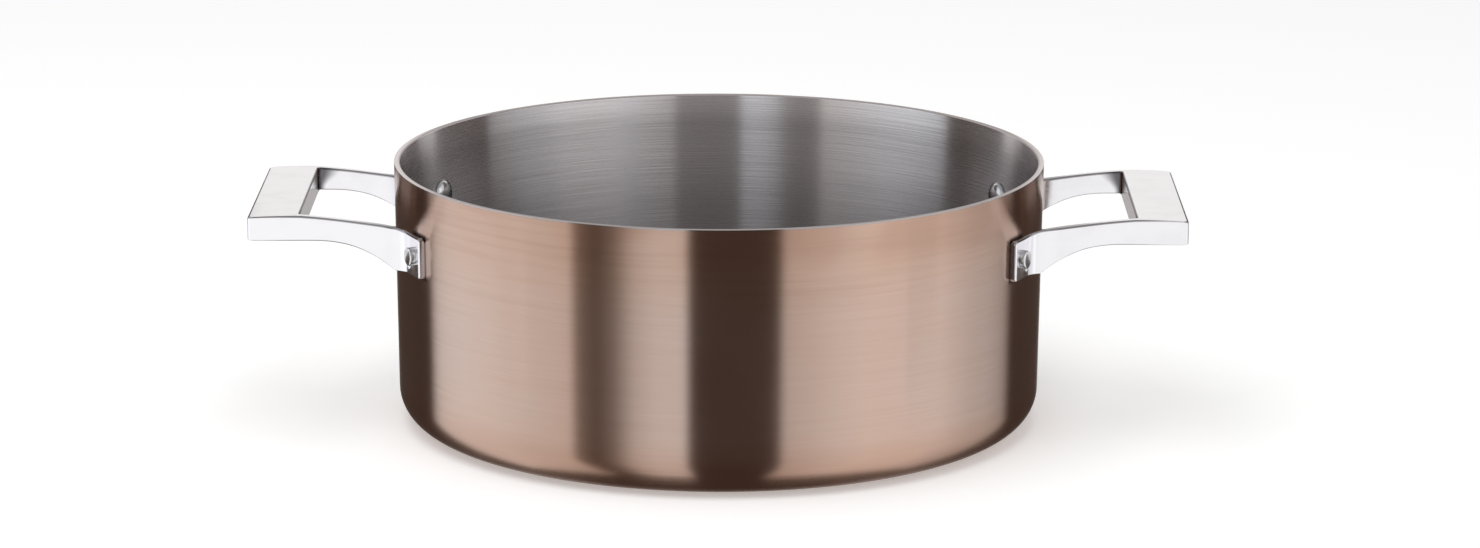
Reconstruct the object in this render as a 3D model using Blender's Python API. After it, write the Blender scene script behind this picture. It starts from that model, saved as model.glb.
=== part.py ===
"""Shallow casserole pan with two riveted loop handles.

The body is three bonded plies drawn to one shape: a copper outer shell, an aluminium core
and a stainless liner whose turned-out lip closes the rim. Each handle is one casting, a
broad grip bar on two arms that bend outward into flanges. The flanges follow the curved
wall, and two rivets for each handle go through flange and wall.
Units are metres, +Z is up, and the origin is the centre of the base.
"""

import math

import bmesh
import bpy
from mathutils import Matrix, Vector

# Pan body
RIM_RADIUS = 0.12135
PAN_HEIGHT = 0.0990
WALL_DRAFT = math.radians(0.78)
CORNER_RADIUS = 0.0134

# Plies, from outside to inside, and the rim
COPPER_THICKNESS = 0.0005
CORE_THICKNESS = 0.0009
LINER_THICKNESS = 0.0005
PLY_GAP = 0.0002
LIP_THICKNESS = 0.0004
LIP_ROUND = 0.0002

# Rivets
SHAFT_RADIUS = 0.0025
OUTER_HEAD_RADIUS = 0.0034
OUTER_HEAD_HEIGHT = 0.0018
OUTER_HEAD_ROUND = 0.0006
INNER_HEAD_RADIUS = 0.0057
INNER_HEAD_HEIGHT = 0.0025
INNER_HEAD_EDGE = 0.0004
RIVET_BELOW_RIM = 0.0259
BORE_CLEARANCE = 0.0003
BORE_OVERRUN = 0.0030
SEAT_GAP = 0.0003

# Handle seen from above
HANDLE_WIDTH = 0.0876
HANDLE_REACH = 0.0516
GRIP_DEPTH = 0.0190
GRIP_CORNER_RADIUS = 0.0018
GRIP_INNER_RADIUS = 0.0008
ARM_THICKNESS = 0.0035
BEND_RUN = 0.0125
BEND_INNER_LAG = 0.0012
BEND_PULL = 0.42
BEND_BLEND = 0.5
FLANGE_LENGTH = 0.0163
FLANGE_THICKNESS = 0.0022
FLANGE_CORNER_RADIUS = 0.0012
RIVET_TO_FLANGE_END = 0.0061
HEAD_MARGIN = 0.0006

# Handle seen from the side, with heights above the rivet's centre line
GRIP_TOP_RISE = 0.0127
GRIP_THICKNESS = 0.0094
GRIP_OUTER_FALL = 0.0006
FLANGE_HEIGHT = 0.0152
ARM_TOP_RISE = 0.0083
ARM_TOP_SWELL = 0.5
UNDERSIDE_SWEEP = 0.0330
UNDERSIDE_FOOT = 0.0030
UNDERSIDE_ANGLE = math.radians(38)
UNDERSIDE_RELIEF = 0.0011
LEAD_IN = 0.48
LEAD_OUT = 0.37
EDGE_ROUND = 0.0006
EDGE_ROUND_SHARE = 0.4

# Facets
WALL_SEGMENTS = 80
CORNER_STEPS = 6
RIVET_SEGMENTS = 20
DOME_STEPS = 4
ROUND_STEPS = 2
FLANGE_CORNER_STEPS = 3
FLANGE_STEPS = 5
BEND_STEPS = 8
ARM_STEPS = 9
GRIP_CORNER_STEPS = 8
GRIP_CORNER_LEAD = 0.25
GRIP_STEPS = 5
HALVINGS = 30

SMOOTH_ANGLE = math.radians(32)
WELD_DISTANCE = 0.000001

WALL_THICKNESS = COPPER_THICKNESS + CORE_THICKNESS + LINER_THICKNESS + 2 * PLY_GAP
RIVET_HEIGHT = PAN_HEIGHT - RIVET_BELOW_RIM


def wall_radius(z, inset=0.0):
    """Radius of the drafted wall at height z, a given depth below its outer face."""
    return RIM_RADIUS - (PAN_HEIGHT - z) * math.tan(WALL_DRAFT) - inset / math.cos(WALL_DRAFT)


def lerp(a, b, t):
    return a + (b - a) * t


def bezier(p0, p1, p2, p3, t):
    """Point of a cubic curve whose ends are p0 and p3."""
    s = 1 - t
    return p0 * s**3 + p1 * (3 * s * s * t) + p2 * (3 * s * t * t) + p3 * t**3


def clear_scene():
    for obj in list(bpy.data.objects):
        bpy.data.objects.remove(obj, do_unlink=True)


def metal(name, colour, roughness):
    material = bpy.data.materials.new(name)
    material.use_nodes = True
    shader = material.node_tree.nodes["Principled BSDF"]
    shader.inputs["Base Color"].default_value = (*colour, 1.0)
    shader.inputs["Roughness"].default_value = roughness
    shader.inputs["Metallic"].default_value = 1.0
    return material


def finished_mesh(name, bm):
    """Close a bmesh into a mesh with outward faces, smooth except at its edges."""
    bmesh.ops.recalc_face_normals(bm, faces=bm.faces[:])
    mesh = bpy.data.meshes.new(name)
    bm.to_mesh(mesh)
    bm.free()
    mesh.shade_smooth()
    mesh.set_sharp_from_angle(angle=SMOOTH_ANGLE)
    return mesh


def add_object(name, mesh, material):
    obj = bpy.data.objects.new(name, mesh)
    bpy.context.scene.collection.objects.link(obj)
    if not mesh.materials:
        mesh.materials.append(material)
    obj.material_slots[0].link = "OBJECT"
    obj.material_slots[0].material = material
    return obj


def turned_mesh(name, profile, segments):
    """Spin a profile of (radius, height) points, which starts and ends on the axis."""
    bm = bmesh.new()
    verts = [bm.verts.new((r, 0, z)) for r, z in profile]
    edges = [bm.edges.new(pair) for pair in zip(verts, verts[1:])]
    bmesh.ops.spin(
        bm, geom=verts + edges, cent=(0, 0, 0), axis=(0, 0, 1), angle=2 * math.pi, steps=segments
    )
    bmesh.ops.remove_doubles(bm, verts=bm.verts[:], dist=WELD_DISTANCE)
    return finished_mesh(name, bm)


def corner_points(inset):
    """Flat base, corner arc and foot of the wall, a given depth inside the outer face."""
    radius = CORNER_RADIUS - inset
    foot = wall_radius(CORNER_RADIUS) - CORNER_RADIUS / math.cos(WALL_DRAFT)
    points = [(0.0, inset)]
    for step in range(CORNER_STEPS + 1):
        angle = lerp(-math.pi / 2, -WALL_DRAFT, step / CORNER_STEPS)
        points.append((foot + radius * math.cos(angle), CORNER_RADIUS + radius * math.sin(angle)))
    return points


def ply_profile(outer_inset, inner_inset, top):
    """Profile of one plain ply, from the inside of its base over its top edge and back."""
    inner = corner_points(inner_inset) + [(wall_radius(top, inner_inset), top)]
    outer = corner_points(outer_inset) + [(wall_radius(top, outer_inset), top)]
    return inner + outer[::-1]


def liner_profile():
    """Profile of the liner, whose lip turns outward over the edges of the other plies."""
    outer_inset = COPPER_THICKNESS + CORE_THICKNESS + 2 * PLY_GAP
    under_lip = PAN_HEIGHT - LIP_THICKNESS
    lip_edge = wall_radius(PAN_HEIGHT)
    inner_face = wall_radius(PAN_HEIGHT, WALL_THICKNESS)
    inner = corner_points(WALL_THICKNESS)
    inner.append((wall_radius(PAN_HEIGHT - LIP_ROUND, WALL_THICKNESS), PAN_HEIGHT - LIP_ROUND))
    lip = [
        (inner_face + LIP_ROUND, PAN_HEIGHT),
        (lip_edge - LIP_ROUND, PAN_HEIGHT),
        (lip_edge, PAN_HEIGHT - LIP_ROUND),
        (lip_edge, under_lip),
        (wall_radius(under_lip, outer_inset), under_lip),
    ]
    return inner + lip + corner_points(outer_inset)[::-1]


def outer_head_round(seat):
    """Quarter round from the outer head's rim up to its flat crown, above its seat."""
    points = []
    for step in range(ROUND_STEPS + 1):
        angle = math.pi / 2 * step / ROUND_STEPS
        radius = OUTER_HEAD_RADIUS - OUTER_HEAD_ROUND * (1 - math.cos(angle))
        height = OUTER_HEAD_HEIGHT - OUTER_HEAD_ROUND * (1 - math.sin(angle))
        points.append((radius, seat + height))
    return points


def rivet_profile():
    """Profile along the rivet's axis, where height 0 is the outer face of the pan wall."""
    liner_radius = wall_radius(RIVET_HEIGHT, WALL_THICKNESS)
    hollow = liner_radius - math.sqrt(liner_radius**2 - INNER_HEAD_RADIUS**2)
    inner_seat = -(WALL_THICKNESS + SEAT_GAP + hollow)
    outer_seat = SEAT_GAP + FLANGE_THICKNESS + SEAT_GAP
    dome_height = INNER_HEAD_HEIGHT - INNER_HEAD_EDGE
    dome = []
    for step in range(DOME_STEPS + 1):
        angle = math.pi / 2 * step / DOME_STEPS
        dome.append(
            (
                INNER_HEAD_RADIUS * math.sin(angle),
                inner_seat - INNER_HEAD_EDGE - dome_height * math.cos(angle),
            )
        )
    shank = [
        (INNER_HEAD_RADIUS, inner_seat),
        (SHAFT_RADIUS, inner_seat),
        (SHAFT_RADIUS, outer_seat),
        (OUTER_HEAD_RADIUS, outer_seat),
    ]
    return dome + shank + outer_head_round(outer_seat) + [(0.0, outer_seat + OUTER_HEAD_HEIGHT)]


def flange_face_radius():
    """Radius of the flange's outer face at the rivet's height."""
    return wall_radius(RIVET_HEIGHT) + SEAT_GAP + FLANGE_THICKNESS


def arm_meets_wall():
    """Angle from the handle's centre line at which the arm's outer face meets the flange."""
    return math.asin(HANDLE_WIDTH / 2 / flange_face_radius())


def flange_end_angle():
    return arm_meets_wall() + FLANGE_LENGTH / flange_face_radius()


def rivet_angle():
    return flange_end_angle() - RIVET_TO_FLANGE_END / flange_face_radius()


def rivet_matrix(side, end):
    """Place of a rivet: +Z of its mesh points out of the wall, and its origin is on the wall."""
    angle = end * rivet_angle()
    if side < 0:
        angle = math.pi - angle
    wall_point = wall_radius(RIVET_HEIGHT)
    place = Vector((wall_point * math.cos(angle), wall_point * math.sin(angle), RIVET_HEIGHT))
    turn = Matrix.Rotation(angle, 4, "Z")
    tip = Matrix.Rotation(math.pi / 2 + WALL_DRAFT, 4, "Y")
    return Matrix.Translation(place) @ turn @ tip


def polar(radius, angle):
    """Plan point on the +Y half of the handle at +X."""
    return Vector((radius * math.cos(angle), radius * math.sin(angle)))


def top_height(x, grip_inner, wall_x):
    """Height of the handle's upper face, from the low flange up to the slightly fallen grip."""
    crown = RIVET_HEIGHT + GRIP_TOP_RISE
    if x >= grip_inner:
        share = (x - grip_inner) / GRIP_DEPTH
        return crown - GRIP_OUTER_FALL * share * share
    foot = RIVET_HEIGHT + ARM_TOP_RISE
    run = grip_inner - wall_x
    share = max(x - wall_x, 0.0) / run
    ease = share * (1 + ARM_TOP_SWELL * share * (1 - share))
    return lerp(foot, crown, ease)


def underside_curve(grip_inner, wall_x):
    """The arm's concave lower edge, from the grip down to the flange, as four control points."""
    level = RIVET_HEIGHT + GRIP_TOP_RISE - GRIP_THICKNESS
    foot = RIVET_HEIGHT - FLANGE_HEIGHT / 2
    start = Vector((wall_x + min(UNDERSIDE_SWEEP, grip_inner - wall_x), level))
    end = Vector((wall_x + UNDERSIDE_FOOT, foot))
    run = start.x - end.x
    lead_in = Vector((run * LEAD_IN, 0.0))
    lead_out = Vector((math.cos(UNDERSIDE_ANGLE), math.sin(UNDERSIDE_ANGLE))) * run * LEAD_OUT
    return start, start - lead_in, end + lead_out, end


def underside_height(x, grip_inner, wall_x):
    start, lead_in, lead_out, end = underside_curve(grip_inner, wall_x)
    if x >= start.x:
        return start.y
    if x <= end.x:
        return end.y
    low = 0.0
    high = 1.0
    for _ in range(HALVINGS):
        middle = (low + high) / 2
        if bezier(start, lead_in, lead_out, end, middle).x > x:
            low = middle
        else:
            high = middle
    return bezier(start, lead_in, lead_out, end, low).y


def flange_trim(distance):
    """How far the flange's rounded corners cut in at a distance from its end."""
    if distance >= FLANGE_CORNER_RADIUS:
        return 0.0
    remaining = FLANGE_CORNER_RADIUS - distance
    return FLANGE_CORNER_RADIUS - math.sqrt(FLANGE_CORNER_RADIUS**2 - remaining**2)


def corner_path(t, start, corner, stop):
    """Outer edge round the grip's corner: straight, quarter round and straight again."""
    centre = Vector((corner.x - GRIP_CORNER_RADIUS, corner.y - GRIP_CORNER_RADIUS))
    lead_out = 1 - GRIP_CORNER_LEAD
    if t <= GRIP_CORNER_LEAD:
        return Vector((lerp(start.x, centre.x, t / GRIP_CORNER_LEAD), corner.y))
    if t >= lead_out:
        return Vector((corner.x, lerp(centre.y, stop.y, (t - lead_out) / GRIP_CORNER_LEAD)))
    angle = math.pi / 2 * (lead_out - t) / (lead_out - GRIP_CORNER_LEAD)
    return centre + Vector((math.cos(angle), math.sin(angle))) * GRIP_CORNER_RADIUS


def handle_stations():
    """Cross-sections of half the handle: (outer point, inner point, heights, lean).

    They run from the end of the flange at +Y, round the bend, along the arm, round the corner
    of the grip and along the grip to the centre line. The heights are the top and bottom at
    the outer point and at the inner one. Lean is the share of the wall's draft that a section
    follows.
    """
    face = flange_face_radius()
    seat = wall_radius(RIVET_HEIGHT) + SEAT_GAP
    outer_y = HANDLE_WIDTH / 2
    inner_y = outer_y - ARM_THICKNESS
    wall_x = face * math.cos(arm_meets_wall())
    grip_outer = wall_radius(RIVET_HEIGHT) + HANDLE_REACH
    grip_inner = grip_outer - GRIP_DEPTH
    bend_x = wall_x + BEND_RUN
    flange_top = RIVET_HEIGHT + FLANGE_HEIGHT / 2
    flange_bottom = RIVET_HEIGHT - FLANGE_HEIGHT / 2
    end_angle = flange_end_angle()
    bend_angle = rivet_angle() - (OUTER_HEAD_RADIUS + HEAD_MARGIN) / face
    stations = []

    def heights_at(point, relief):
        top = top_height(point.x, grip_inner, wall_x)
        return top, underside_height(point.x, grip_inner, wall_x) + relief

    def add(outer, inner, relief):
        stations.append((outer, inner, heights_at(outer, 0.0) + heights_at(inner, relief), 0.0))

    # Flange, with closer sections where its end corners are rounded
    arcs = []
    for k in range(FLANGE_CORNER_STEPS + 1):
        turn = math.pi / 2 * k / FLANGE_CORNER_STEPS
        arcs.append(FLANGE_CORNER_RADIUS * (1 - math.cos(turn)))
    flange_run = (end_angle - bend_angle) * face
    for k in range(1, FLANGE_STEPS):
        arcs.append(lerp(FLANGE_CORNER_RADIUS, flange_run, k / FLANGE_STEPS))
    for arc in arcs:
        angle = end_angle - arc / face
        trim = flange_trim(arc)
        heights = (flange_top - trim, flange_bottom + trim)
        stations.append((polar(face, angle), polar(seat, angle), heights + heights, 1.0))

    # Bend, whose two faces are cubic curves tangent to the wall and to the arm
    along_wall = Vector((math.sin(bend_angle), -math.cos(bend_angle)))
    toward_wall = Vector((-1.0, 0.0))
    outer_end = Vector((bend_x, outer_y))
    inner_end = Vector((bend_x + BEND_INNER_LAG, inner_y))

    def bend_point(start, end, t):
        pull = (end - start).length * BEND_PULL
        return bezier(start, start + along_wall * pull, end + toward_wall * pull, end, t)

    for k in range(BEND_STEPS + 1):
        t = k / BEND_STEPS
        outer = bend_point(polar(face, bend_angle), outer_end, t)
        inner = bend_point(polar(seat, bend_angle), inner_end, t)
        blend = min(1.0, t / BEND_BLEND)
        flange_heights = (flange_top, flange_bottom) * 2
        arm_heights = heights_at(outer, 0.0) + heights_at(inner, UNDERSIDE_RELIEF * t)
        heights = tuple(lerp(a, b, blend) for a, b in zip(flange_heights, arm_heights))
        stations.append((outer, inner, heights, 1.0 - t))

    # Arm
    inner_centre = Vector((grip_inner - GRIP_INNER_RADIUS, inner_y - GRIP_INNER_RADIUS))
    for k in range(1, ARM_STEPS):
        t = k / ARM_STEPS
        outer = Vector((lerp(outer_end.x, inner_centre.x, t), outer_y))
        inner = Vector((lerp(inner_end.x, inner_centre.x, t), inner_y))
        add(outer, inner, UNDERSIDE_RELIEF)

    # Corner of the grip
    start = Vector((inner_centre.x, outer_y))
    corner = Vector((grip_outer, outer_y))
    for k in range(GRIP_CORNER_STEPS + 1):
        t = k / GRIP_CORNER_STEPS
        angle = math.pi / 2 * (1 - t)
        inner = inner_centre + Vector((math.cos(angle), math.sin(angle))) * GRIP_INNER_RADIUS
        add(corner_path(t, start, corner, inner_centre), inner, UNDERSIDE_RELIEF * (1 - t))

    # Grip, up to the centre line
    for k in range(1, GRIP_STEPS + 1):
        y = lerp(inner_centre.y, 0.0, k / GRIP_STEPS)
        add(Vector((grip_outer, y)), Vector((grip_inner, y)), 0.0)
    return stations


def section_ring(station):
    """Corner-rounded section of one station, as points that run round it."""
    outer, inner, (outer_top, outer_bottom, inner_top, inner_bottom), lean = station
    across = (outer - inner).normalized()
    width = (outer - inner).length
    height = min(outer_top - outer_bottom, inner_top - inner_bottom)
    round_radius = min(EDGE_ROUND, EDGE_ROUND_SHARE * width, EDGE_ROUND_SHARE * height)
    corners = [
        (width - round_radius, outer_top - round_radius),
        (round_radius, inner_top - round_radius),
        (round_radius, inner_bottom + round_radius),
        (width - round_radius, outer_bottom + round_radius),
    ]
    ring = []
    for quadrant, (centre_reach, centre_height) in enumerate(corners):
        for k in range(ROUND_STEPS + 1):
            angle = math.pi / 2 * (quadrant + k / ROUND_STEPS)
            reach = centre_reach + round_radius * math.cos(angle)
            z = centre_height + round_radius * math.sin(angle)
            reach += lean * (z - RIVET_HEIGHT) * math.tan(WALL_DRAFT)
            point = inner + across * reach
            ring.append(Vector((point.x, point.y, z)))
    return ring


def handle_mesh(name):
    """Loft the whole casting through its sections, the second half mirrored from the first."""
    half = [section_ring(station) for station in handle_stations()]
    mirrored = [[Vector((p.x, -p.y, p.z)) for p in ring] for ring in half[-2::-1]]
    bm = bmesh.new()
    rings = [[bm.verts.new(point) for point in ring] for ring in half + mirrored]
    for ring, following in zip(rings, rings[1:]):
        for k in range(len(ring)):
            n = (k + 1) % len(ring)
            bm.faces.new((ring[k], ring[n], following[n], following[k]))
    bm.faces.new(rings[0])
    bm.faces.new(rings[-1])
    return finished_mesh(name, bm)


def rivet_bores():
    """Four round cutters, one on each rivet's axis, long enough for flange and plies."""
    bm = bmesh.new()
    depth = 2 * (WALL_THICKNESS + SEAT_GAP + FLANGE_THICKNESS + BORE_OVERRUN)
    radius = SHAFT_RADIUS + BORE_CLEARANCE
    for side in (1, -1):
        for end in (1, -1):
            bmesh.ops.create_cone(
                bm,
                cap_ends=True,
                segments=RIVET_SEGMENTS,
                radius1=radius,
                radius2=radius,
                depth=depth,
                matrix=rivet_matrix(side, end),
            )
    mesh = bpy.data.meshes.new("rivet_bores")
    bm.to_mesh(mesh)
    bm.free()
    cutter = bpy.data.objects.new("rivet_bores", mesh)
    bpy.context.scene.collection.objects.link(cutter)
    cutter.hide_render = True
    cutter.display_type = "WIRE"
    return cutter


def cut_bores(obj, cutter):
    cut = obj.modifiers.new("rivet_bores", "BOOLEAN")
    cut.operation = "DIFFERENCE"
    cut.solver = "EXACT"
    cut.object = cutter


def build_body(cutter):
    copper = metal("brushed_copper", (0.55, 0.40, 0.33), 0.24)
    aluminium = metal("aluminium_core", (0.80, 0.80, 0.81), 0.45)
    steel = metal("brushed_steel", (0.60, 0.59, 0.58), 0.30)
    top = PAN_HEIGHT - LIP_THICKNESS - PLY_GAP
    core_inset = COPPER_THICKNESS + PLY_GAP
    plies = [
        ("copper_outer_shell", ply_profile(0.0, COPPER_THICKNESS, top), copper),
        ("aluminium_core", ply_profile(core_inset, core_inset + CORE_THICKNESS, top), aluminium),
        ("steel_liner", liner_profile(), steel),
    ]
    for name, profile, material in plies:
        ply = add_object(name, turned_mesh(name, profile, WALL_SEGMENTS), material)
        cut_bores(ply, cutter)


def build_handles(cutter):
    polished = metal("polished_cast_steel", (0.92, 0.91, 0.92), 0.15)
    mesh = handle_mesh("loop_handle")
    for name, turn in (("handle_right", 0.0), ("handle_left", math.pi)):
        handle = add_object(name, mesh, polished)
        handle.rotation_euler.z = turn
        cut_bores(handle, cutter)


def build_rivets():
    rivet_steel = metal("rivet_steel", (0.72, 0.72, 0.73), 0.18)
    mesh = turned_mesh("rivet", rivet_profile(), RIVET_SEGMENTS)
    for side, side_name in ((1, "right"), (-1, "left")):
        for end, end_name in ((-1, "front"), (1, "rear")):
            rivet = add_object(f"rivet_{side_name}_{end_name}", mesh, rivet_steel)
            rivet.matrix_world = rivet_matrix(side, end)


def main():
    clear_scene()
    cutter = rivet_bores()
    build_body(cutter)
    build_handles(cutter)
    build_rivets()


main()
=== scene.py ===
import math

import bmesh
import bpy
from mathutils import Matrix, Vector


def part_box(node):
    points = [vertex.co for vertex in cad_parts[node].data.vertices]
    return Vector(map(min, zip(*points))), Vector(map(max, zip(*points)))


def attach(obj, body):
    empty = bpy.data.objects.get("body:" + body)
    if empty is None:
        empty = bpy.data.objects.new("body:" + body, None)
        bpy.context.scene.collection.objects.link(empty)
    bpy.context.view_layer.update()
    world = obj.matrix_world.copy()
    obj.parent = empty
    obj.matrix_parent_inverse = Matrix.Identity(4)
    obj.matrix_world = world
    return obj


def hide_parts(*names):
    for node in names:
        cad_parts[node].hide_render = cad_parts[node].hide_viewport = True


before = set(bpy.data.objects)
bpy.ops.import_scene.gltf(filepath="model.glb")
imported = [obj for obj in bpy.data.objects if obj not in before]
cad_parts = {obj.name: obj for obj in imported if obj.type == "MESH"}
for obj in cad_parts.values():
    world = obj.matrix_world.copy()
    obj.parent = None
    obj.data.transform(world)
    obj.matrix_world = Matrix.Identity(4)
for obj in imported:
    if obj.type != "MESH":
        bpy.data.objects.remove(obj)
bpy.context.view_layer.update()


# Camera
# A long lens from in front and a little above, set to the photograph's viewing angle. The
# pan stands nearly square to it, a touch left of the lens axis.
CAMERA_PLACE = (0.01576, -1.84956, 0.49614)
CAMERA_PITCH = math.radians(13.436)
CAMERA_TURN = math.radians(0.241)
CAMERA_ROLL = math.radians(0.228)
CAMERA_LENS = 123.0
CAMERA_SENSOR = 36.0
CAMERA_CLIP = 0.05

camera_data = bpy.data.cameras.new("camera")
camera_data.lens = CAMERA_LENS
camera_data.sensor_width = CAMERA_SENSOR
camera_data.clip_start = CAMERA_CLIP
camera = bpy.data.objects.new("camera", camera_data)
bpy.context.scene.collection.objects.link(camera)
camera.matrix_world = (
    Matrix.Translation(CAMERA_PLACE)
    @ Matrix.Rotation(CAMERA_TURN, 4, "Z")
    @ Matrix.Rotation(math.pi / 2 - CAMERA_PITCH, 4, "X")
    @ Matrix.Rotation(CAMERA_ROLL, 4, "Z")
)
bpy.context.scene.camera = camera


# Copper outer shell
# The outermost of three bonded sheets, drawn to a round pan with a rolled bottom corner and
# a wall that opens slightly. It is brushed round the body while the pan spins, and each
# handle's two rivets go through it.
PAN_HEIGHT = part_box("steel_liner")[1].z
RIM_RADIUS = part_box("steel_liner")[1].x
WALL_DRAFT = math.radians(0.78)
CORNER_RADIUS = 0.0134
COPPER_THICKNESS = 0.0005
LIP_THICKNESS = 0.0004
TIGHT_FIT = 0.00003
BODY_SEGMENTS = 240
CORNER_STEPS = 14
BASE_RINGS = (0.0, 0.3, 0.7, 0.95, 0.99)
LOW_WALL_RINGS = (0.02, 0.1, 0.35, 0.65, 0.92)
HIGH_WALL_RINGS = (0.2, 0.55, 0.9, 1.0)
HOLE_SEGMENTS = 48
HOLE_DEPTH = 0.02
WELD_DISTANCE = 0.000001
SMOOTH_ANGLE = math.radians(35)

RIVET_BELOW_RIM = 0.0259
RIVET_HEIGHT = PAN_HEIGHT - RIVET_BELOW_RIM
SHAFT_RADIUS = 0.0025
OUTER_HEAD_RADIUS = 0.0034
HEAD_MARGIN = 0.0006
SEAT_GAP = 0.0003
HANDLE_WIDTH = 0.0876
FLANGE_LENGTH = 0.0163
FLANGE_HEIGHT = 0.0152
FLANGE_THICKNESS = 0.0022
RIVET_TO_FLANGE_END = 0.0061

COPPER_ROSE = (0.547, 0.384, 0.305)
COPPER_SAND = (0.552, 0.418, 0.360)
SAND_ABOVE_BASE = (0.004, 0.030)
SAND_BELOW_RIM = (0.088, 0.062)
SAND_CLOUDS = (0.65, 1.0)
COPPER_EMBER = (0.475, 0.300, 0.228)
EMBER_AT_RIM = (0.079, 0.091)
EMBER_CLOUDS = (0.1, 0.9)
EMBER_AT_BASE = (0.022, 0.006)
EMBER_SHARE = 0.78
COPPER_TARNISH = (0.440, 0.290, 0.222)
BAND_HEIGHTS = (0.055, 0.095)
BAND_SHARES = (0.10, 0.42)
COPPER_LINE_SHARE = 0.14
COPPER_SCRATCH_SHARE = 0.25
# Painted shade: a dark band on the copper right round each flange, where the flange shades the wall.
COPPER_CONTACT_SHADE = (0.075, 0.052, 0.042)
CONTACT_SHADE_REACH = 0.0016
CONTACT_SHADE_SHARE = 0.80
COPPER_ROUGHNESS = (0.19, 0.23)
COPPER_HAZE = 0.04
SCRATCH_LEVELS = (0.66, 0.76)


def wall_radius(z, inset=0.0):
    """Radius of the drafted wall at height z, a given depth below its outer face."""
    return RIM_RADIUS - (PAN_HEIGHT - z) * math.tan(WALL_DRAFT) - inset / math.cos(WALL_DRAFT)


def lerp(a, b, t):
    return a + (b - a) * t


def finished_mesh(name, bm):
    """Close a bmesh into a mesh with outward faces, smooth except at its edges."""
    bmesh.ops.recalc_face_normals(bm, faces=bm.faces[:])
    mesh = bpy.data.meshes.new(name)
    bm.to_mesh(mesh)
    bm.free()
    mesh.shade_smooth()
    mesh.set_sharp_from_angle(angle=SMOOTH_ANGLE)
    return mesh


def turned_mesh(name, profile, segments):
    """Spin a profile of (radius, height) points, which starts and ends on the axis."""
    bm = bmesh.new()
    verts = [bm.verts.new((r, 0, z)) for r, z in profile]
    edges = [bm.edges.new(pair) for pair in zip(verts, verts[1:])]
    bmesh.ops.spin(
        bm, geom=verts + edges, cent=(0, 0, 0), axis=(0, 0, 1), angle=2 * math.pi, steps=segments
    )
    bmesh.ops.remove_doubles(bm, verts=bm.verts[:], dist=WELD_DISTANCE)
    return finished_mesh(name, bm)


def shell_side(inset, top):
    """One face of a sheet, from the centre of the base round the corner and up to its top."""
    radius = CORNER_RADIUS - inset
    foot = wall_radius(CORNER_RADIUS) - CORNER_RADIUS / math.cos(WALL_DRAFT)
    side = [(foot * share, inset) for share in BASE_RINGS]
    for step in range(CORNER_STEPS + 1):
        angle = lerp(-math.pi / 2, -WALL_DRAFT, step / CORNER_STEPS)
        side.append((foot + radius * math.cos(angle), CORNER_RADIUS + radius * math.sin(angle)))
    below = [lerp(CORNER_RADIUS, RIVET_HEIGHT, share) for share in LOW_WALL_RINGS]
    above = [lerp(RIVET_HEIGHT, top, share) for share in HIGH_WALL_RINGS]
    side += [(wall_radius(z, inset), z) for z in below + above]
    return side


FLANGE_FACE = wall_radius(RIVET_HEIGHT) + SEAT_GAP + FLANGE_THICKNESS
ARM_MEETS_WALL = math.asin(HANDLE_WIDTH / 2 / FLANGE_FACE)
FLANGE_END = ARM_MEETS_WALL + FLANGE_LENGTH / FLANGE_FACE
RIVET_ANGLE = FLANGE_END - RIVET_TO_FLANGE_END / FLANGE_FACE
BEND_ANGLE = RIVET_ANGLE - (OUTER_HEAD_RADIUS + HEAD_MARGIN) / FLANGE_FACE


def rivet_matrix(side, end):
    """Place of a rivet: +Z of its mesh points out of the wall, and its origin is on the wall."""
    angle = end * RIVET_ANGLE
    if side < 0:
        angle = math.pi - angle
    reach = wall_radius(RIVET_HEIGHT)
    place = Vector((reach * math.cos(angle), reach * math.sin(angle), RIVET_HEIGHT))
    turn = Matrix.Rotation(angle, 4, "Z")
    tip = Matrix.Rotation(math.pi / 2 + WALL_DRAFT, 4, "Y")
    return Matrix.Translation(place) @ turn @ tip


def rivet_hole_cutter():
    """Four round bars on the rivets' axes, which cut the holes in sheets and flanges."""
    bm = bmesh.new()
    for side in (1, -1):
        for end in (1, -1):
            bmesh.ops.create_cone(
                bm,
                cap_ends=True,
                segments=HOLE_SEGMENTS,
                radius1=SHAFT_RADIUS + TIGHT_FIT,
                radius2=SHAFT_RADIUS + TIGHT_FIT,
                depth=HOLE_DEPTH,
                matrix=rivet_matrix(side, end),
            )
    cutter = bpy.data.objects.new("rivet_hole_cutter", finished_mesh("rivet_hole_cutter", bm))
    bpy.context.scene.collection.objects.link(cutter)
    cutter.hide_render = True
    return cutter


def even_shading(obj):
    """Let the large faces set the normals, so that narrow rounds don't bend the flats' look."""
    even = obj.modifiers.new("even_shading", "WEIGHTED_NORMAL")
    even.keep_sharp = True


def drilled(name, mesh, cutter):
    """A new object from a mesh, with the rivet holes cut through it for good."""
    obj = bpy.data.objects.new(name, mesh)
    bpy.context.scene.collection.objects.link(obj)
    cut = obj.modifiers.new("rivet_holes", "BOOLEAN")
    cut.operation = "DIFFERENCE"
    cut.solver = "EXACT"
    cut.object = cutter
    bpy.context.view_layer.update()
    shown = obj.evaluated_get(bpy.context.evaluated_depsgraph_get())
    finished = bpy.data.meshes.new_from_object(shown)
    obj.modifiers.clear()
    obj.data = finished
    finished.set_sharp_from_angle(angle=SMOOTH_ANGLE)
    even_shading(obj)
    return obj


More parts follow.
